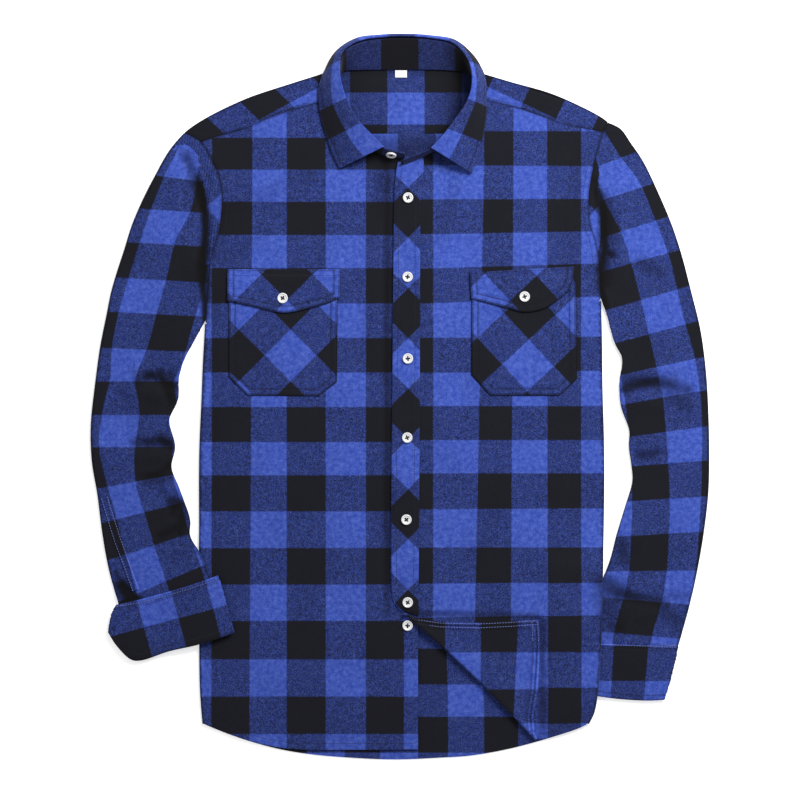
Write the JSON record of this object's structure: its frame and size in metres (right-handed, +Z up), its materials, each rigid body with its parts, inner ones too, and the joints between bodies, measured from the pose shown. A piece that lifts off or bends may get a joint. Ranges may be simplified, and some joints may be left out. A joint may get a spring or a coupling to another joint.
{
  "type": "long-sleeved flannel shirt laid flat",
  "caption": "Long-sleeved buffalo-check flannel shirt laid flat on its back, one cuff turned back and the lower front corner turned up.",
  "frame": {"origin": "centre of the bounding box's bottom face, on the surface that the shirt lies on", "axes": "+Z up out of the shirt's front, +Y from the hem towards the collar, +X towards the wearer's left side"},
  "size_m": [0.6785, 0.7955, 0.0309],
  "materials": {
    "flannel": "brushed twill in a blue and black check",
    "button": "glossy white",
    "label": "plain woven white"
  },
  "bodies": {
    "root": {"back": "flannel", "yoke": "flannel", "front_right": "flannel", "front_left": "flannel", "placket": "flannel", "collar_stand": "flannel", "collar_leaf": "flannel", "sleeve_right": "flannel", "sleeve_left": "flannel", "sleeve_slit": "flannel", "cuff_right": "flannel", "cuff_left": "flannel", "pocket_right": "flannel", "pocket_left": "flannel", "flap_right": "flannel", "flap_left": "flannel", "neck_label": "label", "stand_button": "button", "placket_button_1": "button", "placket_button_2": "button", "placket_button_3": "button", "placket_button_4": "button", "placket_button_5": "button", "placket_button_6": "button", "lower_button": "button", "flap_right_button": "button", "flap_left_button": "button"}
  },
  "joints": []
}
